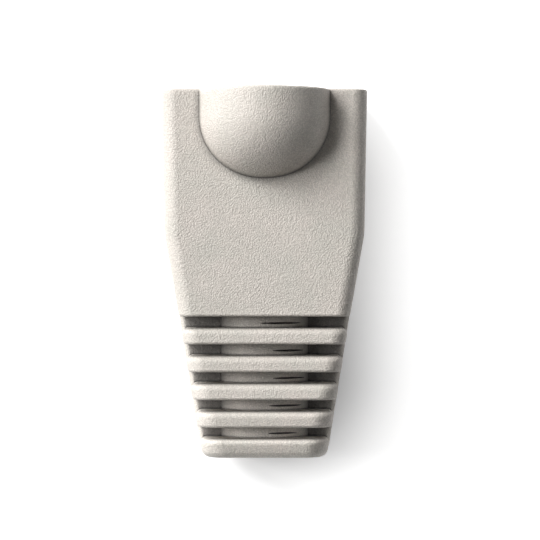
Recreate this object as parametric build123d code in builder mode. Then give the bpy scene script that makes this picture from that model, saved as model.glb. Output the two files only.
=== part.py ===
from build123d import *
import os

# A strain relief boot for a modular network plug, moulded in one piece in soft PVC.
# The plug enters the sleeve at +Y, its latch lies under the hood, and the cable leaves through the
# ribbed tail at -Y. The flat underside rests on Z = 0. All lengths are in millimetres.

# The plug and the cable that the boot fits, with the clearance left all round each of them
plug_width = 11.7
plug_height = 8.1
plug_clearance = 0.05
cable_diameter = 5.8
cable_clearance = 0.1

# The sleeve: straight along the seated plug, then tapered to the tail
pocket_depth = 10.4
taper_length = 5.95
mouth_side_wall = 1.51
shoulder_side_wall = 1.31
flat_wall = 1.25
neck_wall = 0.35
shoulder_radius = 5.5
long_edge_radius = 1.05
mouth_edge_radius = 0.15
sleeve_end_radius = 0.2
pocket_corner_radius = 0.4
funnel_ledge = 0.1

# The hood over the plug's latch, an arch with a rounded far end
hood_width = 9.4
hood_height = 3.5
hood_straight = 2.0
hood_end_flat = 0.8
hood_rim_radius = 0.2
hood_wall = 1.0

# The tail: rings round a thin tube, with open slots between them and a web along each side
slot_count = 5
slot_width = 0.83
ring_width = 1.17
end_ring_width = 1.42
tube_wall = 0.35
neck_side_reach = 2.81
end_side_reach = 1.175
end_flat_reach = 0.93
crown_delay = 5.4
end_corner_radius = 1.75
ring_bevel = 0.28
end_edge_radius = 0.55
bore_bevel = 0.2
web_thickness = 2.0
web_reach = 0.1
web_edge_radius = 0.4

# The short split that moulding leaves in the thin tube, in the middle of each slot
split_length = 2.3
split_width = 0.1
split_offset = 1.35

# How far a cut runs past the surface that it opens
overrun = 1.0

# Sizes that follow from those above
pocket_width = plug_width + 2 * plug_clearance
pocket_height = plug_height + 2 * plug_clearance
bore_radius = cable_diameter / 2 + cable_clearance
tube_radius = bore_radius + tube_wall
mouth_width = pocket_width + 2 * mouth_side_wall
shoulder_width = pocket_width + 2 * shoulder_side_wall
body_height = pocket_height + 2 * flat_wall
mid_height = body_height / 2
neck_width = 2 * (tube_radius + neck_side_reach)
end_width = 2 * (tube_radius + end_side_reach)
end_height = 2 * (tube_radius + end_flat_reach)
sleeve_length = pocket_depth + taper_length
ring_pitch = slot_width + ring_width
tail_length = slot_count * ring_pitch - ring_width + end_ring_width
mouth_y = (sleeve_length + tail_length) / 2
neck_y = mouth_y - sleeve_length
cable_end_y = -mouth_y
funnel_radius = pocket_height / 2 - funnel_ledge
hood_radius = ((hood_width / 2) ** 2 + hood_height**2) / (2 * hood_height)
hood_axis = Axis((0, 0, body_height + hood_height - hood_radius), (0, 1, 0))
bore_axis = Axis((0, 0, mid_height), (0, 1, 0))

# The planes that the boot is drawn on: seen from above, from the side and from the cable end
plan_view = Plane(origin=bore_axis.position, x_dir=(1, 0, 0), z_dir=(0, 0, 1))
side_view = Plane(origin=bore_axis.position, x_dir=(0, 0, 1), z_dir=(-1, 0, 0))


def station(from_mouth):
    """A cross-section plane at a distance from the plug end, centred on the bore, facing the cable end."""
    return Plane(origin=(0, mouth_y - from_mouth, mid_height), x_dir=(1, 0, 0), z_dir=(0, -1, 0))


def between(neck_value, end_value, from_neck):
    """A size of the tail that changes evenly from the neck to the cable end."""
    return neck_value + (end_value - neck_value) * from_neck / tail_length


def tail_width(from_neck):
    return between(neck_width, end_width, from_neck)


def tail_height(from_neck):
    """Height of the tail: level at first, then on an arc that falls to the cable end, above and below."""
    run = tail_length - crown_delay
    drop = (body_height - end_height) / 2
    crown_radius = (run**2 + drop**2) / (2 * drop)
    along = max(from_neck - crown_delay, 0)
    return body_height - 2 * (crown_radius - (crown_radius**2 - along**2) ** 0.5)


def tail_outline(size, front, rear, reach=0):
    """Corners of a stretch of the tail, as wide as size() says at its ends, with a reach on both sides."""
    front_half = size(front) / 2 + reach
    rear_half = size(rear) / 2 + reach
    front_corners = [(-front_half, neck_y - front), (front_half, neck_y - front)]
    rear_corners = [(rear_half, neck_y - rear), (-rear_half, neck_y - rear)]
    return front_corners + rear_corners


def ring(front, rear):
    """One ring of the tail, with its long corners rounded and its front rim bevelled."""
    with BuildPart() as one_ring:
        with BuildSketch(plan_view):
            with BuildLine():
                Polyline(tail_outline(tail_width, front, rear), close=True)
            make_face()
        extrude(amount=body_height, both=True)
        with BuildSketch(side_view):
            with BuildLine():
                Polyline(tail_outline(tail_height, front, rear), close=True)
            make_face()
        extrude(amount=neck_width, both=True, mode=Mode.INTERSECT)
        corner_radius = between(long_edge_radius, end_corner_radius, (front + rear) / 2)
        fillet(one_ring.edges().filter_by(Plane.XZ, reverse=True), radius=corner_radius)
        chamfer(one_ring.faces().sort_by(Axis.Y)[-1].edges(), length=ring_bevel)
    return one_ring.part


# The sleeve, with its long edges rounded first and then the rims of its two ends
with BuildPart() as sleeve:
    with BuildSketch() as sleeve_plan:
        with BuildLine():
            right_side = Polyline(
                (mouth_width / 2, mouth_y),
                (shoulder_width / 2, mouth_y - pocket_depth),
                (neck_width / 2, neck_y),
            )
            left_side = mirror(right_side, about=Plane.YZ)
            Line(right_side @ 0, left_side @ 0)
            Line(right_side @ 1, left_side @ 1)
        make_face()
        fillet(sleeve_plan.vertices().group_by(Axis.Y)[1], radius=shoulder_radius)
    extrude(amount=body_height)
    long_edges = sleeve.edges().filter_by(Axis.Z, reverse=True).filter_by(Axis.X, reverse=True)
    fillet(long_edges, radius=long_edge_radius)
    fillet(sleeve.faces().sort_by(Axis.Y)[-1].edges(), radius=mouth_edge_radius)
    fillet(sleeve.faces().sort_by(Axis.Y)[0].edges(), radius=sleeve_end_radius)

# The hood: a bar whose far end is rounded to a small flat, kept from the middle of the wall upwards
with BuildPart() as hood:
    with BuildSketch(Plane(hood_axis.position)):
        with BuildLine():
            mouth_line = Line((0, mouth_y), (hood_radius, mouth_y))
            side_line = Line(mouth_line @ 1, (hood_radius, mouth_y - hood_straight))
            end_radius = hood_radius - hood_end_flat / 2
            end_curve = CenterArc(side_line @ 1 - Vector(end_radius, 0), end_radius, 0, -90)
            end_line = Line(end_curve @ 1, (0, mouth_y - hood_straight - end_radius))
            Line(end_line @ 1, mouth_line @ 0)
        make_face()
    revolve(axis=hood_axis)
    split(bisect_by=Plane.XY.offset(body_height - flat_wall / 2), keep=Keep.TOP)
    fillet(hood.faces().sort_by(Axis.Y)[-1].edges().filter_by(GeomType.CIRCLE), radius=hood_rim_radius)

# The space for the latch: a bar with a ball end, one wall inside the hood and open into the pocket
with BuildPart() as latch_space:
    latch_radius = hood_radius - hood_wall
    ball_y = mouth_y - hood_straight + hood_end_flat / 2
    with BuildSketch(Plane(hood_axis.position)):
        with BuildLine():
            mouth_line = Line((0, mouth_y + overrun), (latch_radius, mouth_y + overrun))
            side_line = Line(mouth_line @ 1, (latch_radius, ball_y))
            ball_curve = CenterArc((0, ball_y), latch_radius, 0, -90)
            Line(ball_curve @ 1, mouth_line @ 0)
        make_face()
    revolve(axis=hood_axis)

# The plug's pocket
with BuildPart() as pocket:
    with BuildSketch(station(-overrun)):
        RectangleRounded(pocket_width, pocket_height, pocket_corner_radius)
    extrude(amount=overrun + pocket_depth)

# The funnel behind the pocket and the bore for the cable, bevelled where it leaves the tail
with BuildPart() as cable_way:
    with BuildSketch(plan_view):
        with BuildLine():
            Polyline(
                (0, mouth_y - pocket_depth),
                (funnel_radius, mouth_y - pocket_depth),
                (bore_radius, neck_y + neck_wall),
                (bore_radius, cable_end_y + bore_bevel),
                (bore_radius + bore_bevel + overrun, cable_end_y - overrun),
                (0, cable_end_y - overrun),
                close=True,
            )
        make_face()
    revolve(axis=bore_axis)

# The thin tube round the cable, from inside the sleeve to inside the end ring
tube_rear = tail_length - end_ring_width / 2
with BuildPart() as tube:
    with BuildSketch(station(sleeve_length - neck_wall)):
        Circle(tube_radius)
    extrude(amount=neck_wall + tube_rear)

# The webs that join the rings at both sides, as one plate through the middle of the tail. They stand
# out a little from the rings.
with BuildPart() as web:
    with BuildSketch(plan_view):
        with BuildLine():
            Polyline(tail_outline(tail_width, -sleeve_end_radius, tube_rear, web_reach), close=True)
        make_face()
    extrude(amount=web_thickness / 2, both=True)
    side_edges = web.edges().filter_by(Axis.Z, reverse=True).filter_by(Axis.X, reverse=True)
    fillet(side_edges, radius=web_edge_radius)

# The splits, cut upwards through the tube
with BuildPart() as splits:
    for slot in range(slot_count):
        slot_middle_y = neck_y - slot * ring_pitch - slot_width / 2
        with BuildSketch(Plane((split_offset, slot_middle_y, mid_height))):
            with BuildLine():
                rear_curve = SagittaArc((-split_length / 2, 0), (split_length / 2, 0), split_width / 2)
                mirror(rear_curve, about=Plane.XZ)
            make_face()
        extrude(amount=tube_radius + overrun)

# The middle rings, from the front one to the rear one, each bevelled at its rear rim too
with BuildPart() as middle_rings:
    for number in range(1, slot_count):
        ring_front = number * ring_pitch - ring_width
        add(ring(ring_front, ring_front + ring_width))
        chamfer(middle_rings.faces().sort_by(Axis.Y)[0].edges(), length=ring_bevel)

# The end ring, well rounded towards the cable
with BuildPart() as end_ring:
    add(ring(tail_length - end_ring_width, tail_length))
    fillet(end_ring.faces().sort_by(Axis.Y)[0].edges(), radius=end_edge_radius)

# The whole boot
with BuildPart() as boot:
    for piece in (sleeve, hood, tube, web, middle_rings, end_ring):
        add(piece.part)
    for hollow in (pocket, latch_space, cable_way, splits):
        add(hollow.part, mode=Mode.SUBTRACT)

boot.part.label = "boot"
os.makedirs("parts", exist_ok=True)
export_step(boot.part, "parts/boot.step")
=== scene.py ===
from math import pi, radians

import bmesh
import bpy
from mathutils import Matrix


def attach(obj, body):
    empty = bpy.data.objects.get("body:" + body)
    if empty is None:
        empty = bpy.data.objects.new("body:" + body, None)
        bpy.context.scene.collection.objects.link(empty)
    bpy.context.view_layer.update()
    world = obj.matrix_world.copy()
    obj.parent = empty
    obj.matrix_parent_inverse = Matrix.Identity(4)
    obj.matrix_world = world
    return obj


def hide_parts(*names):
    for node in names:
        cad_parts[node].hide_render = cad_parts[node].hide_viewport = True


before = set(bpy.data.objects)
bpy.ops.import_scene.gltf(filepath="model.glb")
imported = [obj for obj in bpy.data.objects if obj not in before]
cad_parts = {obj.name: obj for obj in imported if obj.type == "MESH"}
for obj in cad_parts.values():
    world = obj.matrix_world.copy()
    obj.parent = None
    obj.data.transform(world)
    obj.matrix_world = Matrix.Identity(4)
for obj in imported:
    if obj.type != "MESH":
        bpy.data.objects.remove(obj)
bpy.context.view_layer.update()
bpy.ops.object.select_all(action="DESELECT")


# The sleeve is the box-shaped front of the boot, which grips the rear of the plug. The boot is one
# moulding in soft PVC, so each of its forms is drawn here in millimetres, in its own place, and
# they are made one and brought to metres once the last form is there.
mouth_y = 13.3
shoulder_y = 2.9
neck_y = -3.05
mouth_width = 14.81
shoulder_width = 14.41
neck_width = 12.32
body_height = 10.7
middle_z = body_height / 2
shoulder_bend = 0.44
bend_steps = 8
long_edge_round = 1.05
mouth_rim_round = 0.15
neck_rim_round = 0.2


def settle(name):
    """Names the primitive that was just added, and puts its place, turn and size into its mesh."""
    form = bpy.context.object
    form.name = name
    bpy.ops.object.transform_apply(location=True, rotation=True, scale=True)
    return form


def pick_points(wanted):
    """Selects, in edit mode, the points whose place is wanted."""
    bpy.ops.mesh.select_mode(type="VERT")
    bpy.ops.mesh.select_all(action="DESELECT")
    mesh = bmesh.from_edit_mesh(bpy.context.object.data)
    for point in mesh.verts:
        point.select_set(wanted(point.co))
    mesh.select_flush(True)
    bmesh.update_edit_mesh(bpy.context.object.data)


def pick_edges(wanted):
    """Selects, in edit mode, the edges whose middle and direction are wanted."""
    bpy.ops.mesh.select_mode(type="EDGE")
    bpy.ops.mesh.select_all(action="DESELECT")
    mesh = bmesh.from_edit_mesh(bpy.context.object.data)
    for edge in mesh.edges:
        start, end = (point.co for point in edge.verts)
        edge.select_set(wanted((start + end) / 2, (end - start).normalized()))
    bmesh.update_edit_mesh(bpy.context.object.data)


def near(value, target):
    """Whether two lengths are the same, to a hundredth of a millimetre."""
    return abs(value - target) < 0.01


def lengthwise(along):
    """Whether an edge runs from the mouth towards the cable."""
    return abs(along.y) > 0.9


def round_over(radius, steps):
    """Rounds the selected edges, in edit mode."""
    bpy.ops.mesh.bevel(
        offset=radius, segments=steps, profile=0.5, affect="EDGES", clamp_overlap=False
    )


bpy.ops.mesh.primitive_cube_add(
    size=1,
    location=(0, (mouth_y + neck_y) / 2, middle_z),
    scale=(mouth_width, mouth_y - neck_y, body_height),
)
sleeve = settle("sleeve")
bpy.ops.object.mode_set(mode="EDIT")
widths = {neck_y: neck_width}
front_slope = (mouth_width - shoulder_width) / (mouth_y - shoulder_y)
rear_slope = (shoulder_width - neck_width) / (shoulder_y - neck_y)
bend_front = shoulder_width + front_slope * shoulder_bend
bend_rear = shoulder_width - rear_slope * shoulder_bend
for step in range(bend_steps + 1):
    share = step / bend_steps
    station_y = shoulder_y + shoulder_bend * (1 - 2 * share)
    widths[station_y] = (
        (1 - share) ** 2 * bend_front
        + 2 * share * (1 - share) * shoulder_width
        + share**2 * bend_rear
    )
    bpy.ops.mesh.select_all(action="SELECT")
    bpy.ops.mesh.bisect(plane_co=(0, station_y, 0), plane_no=(0, 1, 0))
for station_y, width in widths.items():
    pick_points(lambda place: near(place.y, station_y))
    bpy.ops.transform.resize(
        value=(width / mouth_width, 1, 1), center_override=(0, station_y, middle_z)
    )
pick_edges(lambda middle, along: lengthwise(along))
round_over(long_edge_round, 10)
pick_edges(lambda middle, along: near(middle.y, mouth_y))
round_over(mouth_rim_round, 4)
pick_edges(lambda middle, along: near(middle.y, neck_y))
round_over(neck_rim_round, 5)
bpy.ops.object.mode_set(mode="OBJECT")


# The hood is the rounded cover over the plug's latch, in the same moulding as the sleeve. It is an
# arch that runs straight from the mouth and ends in a round nose, and meets the sleeve in a crisp
# crease.
hood_radius = 4.9
hood_axis_z = 9.294
hood_length = 6.506
hood_foot_z = 10.1
hood_nose_round = 4.5
hood_rim_round = 0.2
hood_rear_y = mouth_y - hood_length

bpy.ops.mesh.primitive_cylinder_add(
    vertices=160,
    radius=hood_radius,
    depth=hood_length,
    location=(0, (mouth_y + hood_rear_y) / 2, hood_axis_z),
    rotation=(pi / 2, 0, 0),
)
hood = settle("hood")
bpy.ops.object.mode_set(mode="EDIT")
pick_edges(lambda middle, along: near(middle.y, hood_rear_y) and not lengthwise(along))
round_over(hood_nose_round, 32)
pick_edges(lambda middle, along: near(middle.y, mouth_y) and not lengthwise(along))
round_over(hood_rim_round, 5)
bpy.ops.mesh.select_all(action="SELECT")
bpy.ops.mesh.bisect(
    plane_co=(0, 0, hood_foot_z), plane_no=(0, 0, 1), use_fill=True, clear_inner=True
)
bpy.ops.object.mode_set(mode="OBJECT")


# The tail is what spares the cable a sharp bend: five rings with open slots between them, each ring
# smaller than the one before, so that the slots close one after another as the cable is bent. Their
# tops are level near the sleeve, and then fall on an arc to the cable end.
ring_count = 5
ring_pitch = 2.0
slot_width = 0.83
ring_length = ring_pitch - slot_width
tail_length = 10.25
level_length = 5.4
end_width = 9.05
end_height = 8.56
neck_corner = 1.05
end_corner = 1.75
ring_front_round = 0.5
ring_rear_round = 0.22
cable_end_round = 0.55


def tail_width(from_neck):
    """The tail's width at a distance behind the neck, on a straight taper."""
    return neck_width + (end_width - neck_width) * from_neck / tail_length


def tail_height(from_neck):
    """The tail's height at a distance behind the neck, first level and then on an arc."""
    run = tail_length - level_length
    drop = (body_height - end_height) / 2
    arc_radius = (run**2 + drop**2) / (2 * drop)
    along_arc = max(from_neck - level_length, 0)
    return body_height - 2 * (arc_radius - (arc_radius**2 - along_arc**2) ** 0.5)


tail_forms = []
for number in range(ring_count):
    is_last = number == ring_count - 1
    front = number * ring_pitch + slot_width
    rear = tail_length if is_last else front + ring_length
    bpy.ops.mesh.primitive_cube_add(
        size=1,
        location=(0, neck_y - (front + rear) / 2, middle_z),
        scale=(1, rear - front, 1),
    )
    ring = settle(f"ring_{number + 1}")
    bpy.ops.object.mode_set(mode="EDIT")
    for from_neck in (front, rear):
        pick_points(lambda place: near(place.y, neck_y - from_neck))
        bpy.ops.transform.resize(
            value=(tail_width(from_neck), 1, tail_height(from_neck)),
            center_override=(0, neck_y - from_neck, middle_z),
        )
    corner = neck_corner + (end_corner - neck_corner) * (front + rear) / 2 / tail_length
    pick_edges(lambda middle, along: lengthwise(along))
    round_over(corner, 12)
    pick_edges(lambda middle, along: near(middle.y, neck_y - front))
    round_over(ring_front_round, 8)
    pick_edges(lambda middle, along: near(middle.y, neck_y - rear))
    round_over(cable_end_round if is_last else ring_rear_round, 6)
    bpy.ops.object.mode_set(mode="OBJECT")
    tail_forms.append(ring)


# The thin tube round the cable and the web along each side hold the rings at their distance, and
# are all of the tail that shows in the slots. They come out of the same mould as the rings.
tube_radius = 3.35
tube_front_y = neck_y + 0.35
tube_rear_y = neck_y - tail_length + 0.71
web_front_y = neck_y + 0.2
web_thickness = 2.0
web_stands_proud = 0.1
web_edge_round = 0.4

bpy.ops.mesh.primitive_cylinder_add(
    vertices=128,
    radius=tube_radius,
    depth=tube_front_y - tube_rear_y,
    location=(0, (tube_front_y + tube_rear_y) / 2, middle_z),
    rotation=(pi / 2, 0, 0),
)
tube = settle("tube")

bpy.ops.mesh.primitive_cube_add(
    size=1,
    location=(0, (web_front_y + tube_rear_y) / 2, middle_z),
    scale=(1, web_front_y - tube_rear_y, web_thickness),
)
web = settle("web")
bpy.ops.object.mode_set(mode="EDIT")
for end_y in (web_front_y, tube_rear_y):
    pick_points(lambda place: near(place.y, end_y))
    bpy.ops.transform.resize(
        value=(tail_width(neck_y - end_y) + 2 * web_stands_proud, 1, 1),
        center_override=(0, end_y, middle_z),
    )
pick_edges(lambda middle, along: lengthwise(along))
round_over(web_edge_round, 6)
bpy.ops.object.mode_set(mode="OBJECT")
tail_forms += [tube, web]


# The hollows are left by the mould's core: the pocket for the plug, the space for its latch under
# the hood, the funnel and the bore for the cable. The bore flares where the cable leaves it.
core_past_mouth = 1.6
pocket_width = 11.8
pocket_height = 8.2
pocket_corner = 0.4
pocket_front_y = mouth_y + core_past_mouth
latch_space_radius = 3.906
latch_space_y = 11.7
bore_radius = 3.0
funnel_radius = 4.089
funnel_front_y = 3.4
funnel_rear_y = -2.7
flare_radius = 4.2
flare_front_y = -13.1
flare_rear_y = -14.3

bpy.ops.mesh.primitive_cube_add(
    size=1,
    location=(0, (pocket_front_y + shoulder_y) / 2, middle_z),
    scale=(pocket_width, pocket_front_y - shoulder_y, pocket_height),
)
pocket = settle("pocket")
bpy.ops.object.mode_set(mode="EDIT")
pick_edges(lambda middle, along: lengthwise(along))
round_over(pocket_corner, 5)
bpy.ops.object.mode_set(mode="OBJECT")

bpy.ops.mesh.primitive_uv_sphere_add(
    segments=96,
    ring_count=48,
    radius=latch_space_radius,
    location=(0, latch_space_y, hood_axis_z),
    rotation=(pi / 2, 0, 0),
)
latch_space = settle("latch_space")
bpy.ops.object.mode_set(mode="EDIT")
bpy.ops.mesh.select_all(action="SELECT")
bpy.ops.mesh.bisect(
    plane_co=(0, latch_space_y, 0), plane_no=(0, 1, 0), use_fill=True, clear_outer=True
)
bpy.ops.mesh.extrude_region_move(
    TRANSFORM_OT_translate={"value": (0, pocket_front_y - latch_space_y, 0)}
)
bpy.ops.object.mode_set(mode="OBJECT")

bpy.ops.mesh.primitive_cylinder_add(
    vertices=128,
    radius=bore_radius,
    depth=funnel_front_y - flare_rear_y,
    location=(0, (funnel_front_y + flare_rear_y) / 2, middle_z),
    rotation=(pi / 2, 0, 0),
)
cable_way = settle("cable_way")
bpy.ops.object.mode_set(mode="EDIT")
for station_y in (funnel_rear_y, flare_front_y):
    bpy.ops.mesh.select_all(action="SELECT")
    bpy.ops.mesh.bisect(plane_co=(0, station_y, 0), plane_no=(0, 1, 0))
for end_y, radius in ((funnel_front_y, funnel_radius), (flare_rear_y, flare_radius)):
    pick_points(lambda place: near(place.y, end_y))
    bpy.ops.transform.resize(
        value=(radius / bore_radius, 1, radius / bore_radius),
        center_override=(0, end_y, middle_z),
    )
bpy.ops.object.mode_set(mode="OBJECT")


# The tube is split in every slot, where the skin is thinnest: a short dark slit, a little wider in
# its middle and just behind the middle of its slot, and no two quite alike.
split_places_and_lengths = ((1.15, 3.0), (1.7, 2.3), (1.75, 2.35), (1.5, 2.4), (1.3, 2.1))
split_width = 0.15
split_behind = 0.09
split_floor_z = 5.6
split_top_z = 9.6

splits = []
for number, (split_x, split_length) in enumerate(split_places_and_lengths):
    split_y = neck_y - number * ring_pitch - slot_width / 2 - split_behind
    bpy.ops.mesh.primitive_cylinder_add(
        vertices=32,
        radius=0.5,
        depth=split_top_z - split_floor_z,
        location=(split_x, split_y, (split_top_z + split_floor_z) / 2),
        scale=(split_length, split_width, 1),
    )
    splits.append(settle(f"split_{number + 1}"))


# The whole boot: the forms are joined into one skin and the hollows taken out of it, as they leave
# the mould. The flats stay flat and the rounded rims run smoothly into them.
def combine(body, others, how):
    """Joins forms to a body or takes them out of it."""
    bpy.ops.object.select_all(action="DESELECT")
    bpy.context.view_layer.objects.active = body
    for other in others:
        bpy.ops.object.modifier_add(type="BOOLEAN")
        change = body.modifiers[-1]
        change.operation = how
        change.solver = "EXACT"
        change.object = other
        bpy.ops.object.modifier_apply(modifier=change.name)
        bpy.data.objects.remove(other)


combine(sleeve, [hood] + tail_forms, "UNION")
combine(sleeve, [pocket, latch_space, cable_way] + splits, "DIFFERENCE")
boot = sleeve
boot.name = "boot_moulding"
boot.data.name = "boot_moulding"
boot.select_set(True)
bpy.ops.object.mode_set(mode="EDIT")
bpy.ops.mesh.select_all(action="SELECT")
bpy.ops.mesh.remove_doubles(threshold=0.002)
bpy.ops.mesh.dissolve_degenerate(threshold=0.001)
bpy.ops.mesh.normals_make_consistent(inside=False)
bpy.ops.object.mode_set(mode="OBJECT")
millimetre = 0.001
bpy.ops.transform.resize(value=(millimetre, millimetre, millimetre), center_override=(0, 0, 0))
bpy.ops.object.transform_apply(location=True, rotation=True, scale=True)
bpy.ops.object.shade_smooth_by_angle(angle=radians(32))
bpy.ops.object.modifier_add(type="WEIGHTED_NORMAL")
boot.modifiers[-1].keep_sharp = True
boot.modifiers[-1].weight = 90
bpy.ops.object.modifier_apply(modifier=boot.modifiers[-1].name)
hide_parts("boot")
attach(boot, "root")


# The finish is the mould's own: spark-eroded steel leaves a fine granular face, about a ninth of a
# millimetre from grain to grain, on matte warm grey PVC, darker in the pits of the grain and
# lighter on its tops. Shade is painted into the creases, onto the webs and into the bore, less of
# it on the tube; a highlight is painted along the rims, and painted light makes the cable end
# lighter.
darker_grey = (0.620, 0.588, 0.533, 1)
lighter_grey = (0.680, 0.625, 0.572, 1)
grain_depth = 0.015 * millimetre
swell_depth = 0.06 * millimetre
crease_reach = 1.2 * millimetre
foot_reach = 0.25 * millimetre
rim_reach = 0.5 * millimetre
painted_shade_height = 6.0 * millimetre

pvc = bpy.data.materials.new("grained_soft_pvc")
pvc.use_nodes = True
nodes = pvc.node_tree.nodes
links = pvc.node_tree.links
surface = nodes["Principled BSDF"]
place = nodes.new("ShaderNodeTexCoord")


def spread(tree, source, low, high, at_low, at_high):
    """Carries a value from one range to another, and stops at its ends."""
    carried = tree.nodes.new("ShaderNodeMapRange")
    carried.inputs["From Min"].default_value = low
    carried.inputs["From Max"].default_value = high
    carried.inputs["To Min"].default_value = at_low
    carried.inputs["To Max"].default_value = at_high
    tree.links.new(source, carried.inputs["Value"])
    return carried


def openness(reach, samples, inside=False):
    """How clear a place is, from 0 to 1, of the rest of the boot's skin, outside it or inside."""
    around = nodes.new("ShaderNodeAmbientOcclusion")
    around.samples = samples
    around.inside = inside
    around.only_local = True
    around.inputs["Distance"].default_value = reach
    return around.outputs["AO"]


grain = nodes.new("ShaderNodeTexNoise")
grain.inputs["Scale"].default_value = 5000
grain.inputs["Detail"].default_value = 1
grain.inputs["Roughness"].default_value = 0.5
pebbles = nodes.new("ShaderNodeTexVoronoi")
pebbles.feature = "F1"
pebbles.inputs["Scale"].default_value = 9000
relief = nodes.new("ShaderNodeMath")
relief.operation = "MULTIPLY_ADD"
relief.inputs[1].default_value = -2.4
swell = nodes.new("ShaderNodeTexNoise")
swell.inputs["Scale"].default_value = 260
swell.inputs["Detail"].default_value = 1
swell_bump = nodes.new("ShaderNodeBump")
swell_bump.inputs["Strength"].default_value = 1.0
swell_bump.inputs["Distance"].default_value = swell_depth
grain_bump = nodes.new("ShaderNodeBump")
grain_bump.inputs["Strength"].default_value = 1.0
grain_bump.inputs["Distance"].default_value = grain_depth
for texture in (grain, pebbles, swell):
    links.new(place.outputs["Object"], texture.inputs["Vector"])
links.new(pebbles.outputs["Distance"], relief.inputs[0])
links.new(grain.outputs["Fac"], relief.inputs[2])
links.new(swell.outputs["Fac"], swell_bump.inputs["Height"])
links.new(swell_bump.outputs["Normal"], grain_bump.inputs["Normal"])
links.new(relief.outputs["Value"], grain_bump.inputs["Height"])
links.new(grain_bump.outputs["Normal"], surface.inputs["Normal"])

tint = nodes.new("ShaderNodeTexNoise")
tint.inputs["Scale"].default_value = 420
tint.inputs["Detail"].default_value = 4
greys = nodes.new("ShaderNodeValToRGB")
greys.color_ramp.elements[0].position = 0.3
greys.color_ramp.elements[0].color = darker_grey
greys.color_ramp.elements[1].position = 0.7
greys.color_ramp.elements[1].color = lighter_grey
links.new(place.outputs["Object"], tint.inputs["Vector"])
links.new(tint.outputs["Fac"], greys.inputs["Fac"])

# Painted shade in the creases is deep at the height of the webs and under the hood, and light on
# the tube.
across = nodes.new("ShaderNodeSeparateXYZ")
above_middle = nodes.new("ShaderNodeMath")
above_middle.operation = "SUBTRACT"
above_middle.inputs[1].default_value = middle_z * millimetre
from_middle = nodes.new("ShaderNodeMath")
from_middle.operation = "ABSOLUTE"
height_share = nodes.new("ShaderNodeMath")
height_share.operation = "DIVIDE"
height_share.inputs[1].default_value = painted_shade_height
painted_shade_by_height = nodes.new("ShaderNodeValToRGB")
painted_shade_by_height.color_ramp.elements[0].position = 0.19
painted_shade_by_height.color_ramp.elements[0].color = (0.24, 0.24, 0.24, 1)
painted_shade_by_height.color_ramp.elements[1].position = 0.88
painted_shade_by_height.color_ramp.elements[1].color = (0.08, 0.08, 0.08, 1)
at_tube = painted_shade_by_height.color_ramp.elements.new(0.48)
at_tube.color = (0.9, 0.9, 0.9, 1)
links.new(place.outputs["Object"], across.inputs["Vector"])
links.new(across.outputs["Z"], above_middle.inputs[0])
links.new(above_middle.outputs["Value"], from_middle.inputs[0])
links.new(from_middle.outputs["Value"], height_share.inputs[0])
links.new(height_share.outputs["Value"], painted_shade_by_height.inputs["Fac"])
# Painted shade: the colour darkens where other parts of the skin hem a place in.
painted_crease_shade = spread(pvc.node_tree, openness(crease_reach, 16), 0.54, 0.9, 0, 1)
links.new(painted_shade_by_height.outputs["Color"], painted_crease_shade.inputs["To Min"])

cross_section = nodes.new("ShaderNodeCombineXYZ")
from_axis = nodes.new("ShaderNodeVectorMath")
from_axis.operation = "LENGTH"
links.new(across.outputs["X"], cross_section.inputs["X"])
links.new(above_middle.outputs["Value"], cross_section.inputs["Y"])
links.new(cross_section.outputs["Vector"], from_axis.inputs[0])
bore_wall = (bore_radius + 0.04) * millimetre
below_skin = (tube_radius - 0.09) * millimetre
cable_end_y = (neck_y - tail_length) * millimetre
fourth_ring_y = -7.8 * millimetre

# The colour is darker in the pits of the grain and lighter on its tops.
pit_and_peak_tone = spread(pvc.node_tree, relief.outputs["Value"], -1.0, 0.2, 0.86, 1.14)
# Painted shade in thin lines along the feet of the creases.
painted_foot_shade = spread(pvc.node_tree, openness(foot_reach, 8), 0.5, 0.8, 0.15, 1)
# Painted shade on the inside of the bore.
painted_bore_shade = spread(pvc.node_tree, from_axis.outputs["Value"], bore_wall, below_skin, 0.2, 1)
# A painted highlight along the rounded rims.
painted_rim_highlight = spread(pvc.node_tree, openness(rim_reach, 8, inside=True), 0.6, 1, 1.15, 1)
# Painted light, growing towards the cable end.
painted_light_to_cable_end = spread(pvc.node_tree, across.outputs["Y"], cable_end_y, fourth_ring_y, 1.2, 1)
colour = greys.outputs["Color"]
for share in (pit_and_peak_tone, painted_crease_shade, painted_foot_shade, painted_bore_shade, painted_rim_highlight, painted_light_to_cable_end):
    layer = nodes.new("ShaderNodeVectorMath")
    layer.operation = "SCALE"
    links.new(colour, layer.inputs[0])
    links.new(share.outputs["Result"], layer.inputs["Scale"])
    colour = layer.outputs["Vector"]
links.new(colour, surface.inputs["Base Color"])

dull = spread(pvc.node_tree, grain.outputs["Fac"], 0, 1, 0.42, 0.62)
links.new(dull.outputs["Result"], surface.inputs["Roughness"])
surface.inputs["IOR"].default_value = 1.5

boot.data.materials.clear()
boot.data.materials.append(pvc)


# The table that the boot lies on is plain white paper, which shows white to the camera and keeps
# the boot's soft shadow; close round the boot a soft shadow is painted, where the paper's glow is
# lowered.
paper_white = (0.8, 0.8, 0.8, 1)
painted_shadow_centre = (-0.98 * millimetre, -0.73 * millimetre, 0)
painted_shadow_half_length = 6.52 * millimetre
painted_shadow_near = 3.6 * millimetre
painted_shadow_far = 13.8 * millimetre
glow_in_painted_shadow = 0.11

bpy.ops.mesh.primitive_plane_add(size=3, location=(0, 0, 0))
table = bpy.context.object
table.name = "table"
paper = bpy.data.materials.new("white_paper")
paper.use_nodes = True
paper_nodes = paper.node_tree.nodes
paper_links = paper.node_tree.links
paper_nodes.remove(paper_nodes["Principled BSDF"])


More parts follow.
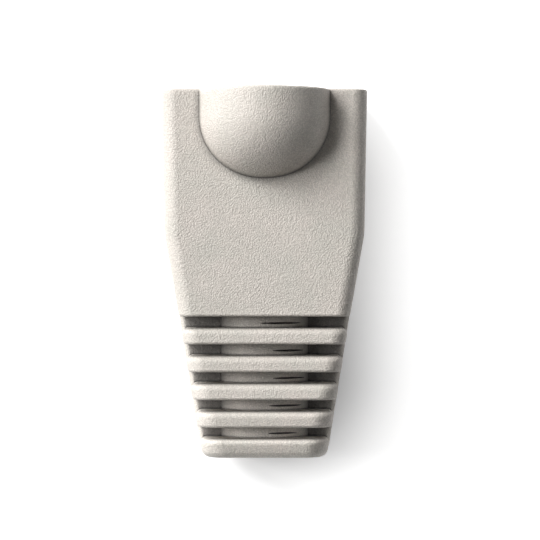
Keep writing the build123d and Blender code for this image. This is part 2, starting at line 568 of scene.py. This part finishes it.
def seen(tree):
    """1 for what is looked at, straight, in a gloss or through something clear, else 0."""
    way = tree.nodes.new("ShaderNodeLightPath")
    straight_or_glossy = tree.nodes.new("ShaderNodeMath")
    straight_or_glossy.operation = "MAXIMUM"
    seen_at_all = tree.nodes.new("ShaderNodeMath")
    seen_at_all.operation = "MAXIMUM"
    tree.links.new(way.outputs["Is Camera Ray"], straight_or_glossy.inputs[0])
    tree.links.new(way.outputs["Is Glossy Ray"], straight_or_glossy.inputs[1])
    tree.links.new(straight_or_glossy.outputs["Value"], seen_at_all.inputs[0])
    tree.links.new(way.outputs["Is Transmission Ray"], seen_at_all.inputs[1])
    return seen_at_all.outputs["Value"]


paper_place = paper_nodes.new("ShaderNodeTexCoord")
off_centre = paper_nodes.new("ShaderNodeVectorMath")
off_centre.operation = "SUBTRACT"
off_centre.inputs[1].default_value = painted_shadow_centre
unsigned = paper_nodes.new("ShaderNodeVectorMath")
unsigned.operation = "ABSOLUTE"
past_straight = paper_nodes.new("ShaderNodeVectorMath")
past_straight.operation = "SUBTRACT"
past_straight.inputs[1].default_value = (0, painted_shadow_half_length, 1)
outside = paper_nodes.new("ShaderNodeVectorMath")
outside.operation = "MAXIMUM"
outside.inputs[1].default_value = (0, 0, 0)
distance = paper_nodes.new("ShaderNodeVectorMath")
distance.operation = "LENGTH"
paper_links.new(paper_place.outputs["Object"], off_centre.inputs[0])
paper_links.new(off_centre.outputs["Vector"], unsigned.inputs[0])
paper_links.new(unsigned.outputs["Vector"], past_straight.inputs[0])
paper_links.new(past_straight.outputs["Vector"], outside.inputs[0])
paper_links.new(outside.outputs["Vector"], distance.inputs[0])
# Painted shadow: the paper's glow is low close round the boot and full further off.
glow_past_painted_shadow = spread(
    paper.node_tree, distance.outputs["Value"], painted_shadow_near, painted_shadow_far, glow_in_painted_shadow, 1
)
glow_past_painted_shadow.interpolation_type = "SMOOTHSTEP"

matte = paper_nodes.new("ShaderNodeBsdfDiffuse")
matte.inputs["Color"].default_value = paper_white
glow = paper_nodes.new("ShaderNodeEmission")
glow_strength = paper_nodes.new("ShaderNodeMath")
glow_strength.operation = "MULTIPLY"
both = paper_nodes.new("ShaderNodeAddShader")
paper_links.new(seen(paper.node_tree), glow_strength.inputs[0])
paper_links.new(glow_past_painted_shadow.outputs["Result"], glow_strength.inputs[1])
paper_links.new(glow_strength.outputs["Value"], glow.inputs["Strength"])
paper_links.new(matte.outputs["BSDF"], both.inputs[0])
paper_links.new(glow.outputs["Emission"], both.inputs[1])
paper_links.new(both.outputs["Shader"], paper_nodes["Material Output"].inputs["Surface"])
table.data.materials.append(paper)


# The light comes from studio softboxes: a large key high on the left and beyond the mouth, a second
# one further round to the left that reaches into the slots, and a faint one low on the right. The
# white room adds a little all round.
def softbox(name, place, size, power):
    """A square lamp that looks at the boot."""
    bpy.ops.object.light_add(type="AREA", location=place)
    lamp = bpy.context.object
    lamp.name = name
    lamp.data.size = size
    lamp.data.energy = power
    lamp.rotation_euler = (-lamp.location).to_track_quat("-Z", "Y").to_euler()


softbox("key_light", (-0.3881, 0.3494, 0.2955), 0.28, 4.35)
softbox("slot_light", (-0.4682, 0.0658, 0.3694), 0.16, 1.92)
softbox("right_light", (0.5638, 0.0000, 0.2052), 0.16, 0.3)

light_of_room = 0.02
room = bpy.data.worlds.new("white_room")
bpy.context.scene.world = room
room.use_nodes = True
backdrop = room.node_tree.nodes["Background"]
backdrop.inputs["Color"].default_value = (1, 1, 1, 1)
room_strength = spread(room.node_tree, seen(room.node_tree), 0, 1, light_of_room, 1)
room.node_tree.links.new(room_strength.outputs["Result"], backdrop.inputs["Strength"])


# The camera stands straight above the boot, far enough away for a long lens, and a little off the
# boot's centre.
bpy.ops.object.camera_add(location=(0.00039, 0.0003, 0.1757), rotation=(0, 0, 0))
camera = bpy.context.object
camera.name = "camera_above"
camera.data.sensor_width = 36
camera.data.lens = 153.5
camera.data.clip_start = 0.01
camera.data.clip_end = 10
bpy.context.scene.camera = camera
bpy.context.scene.view_settings.view_transform = "Standard"
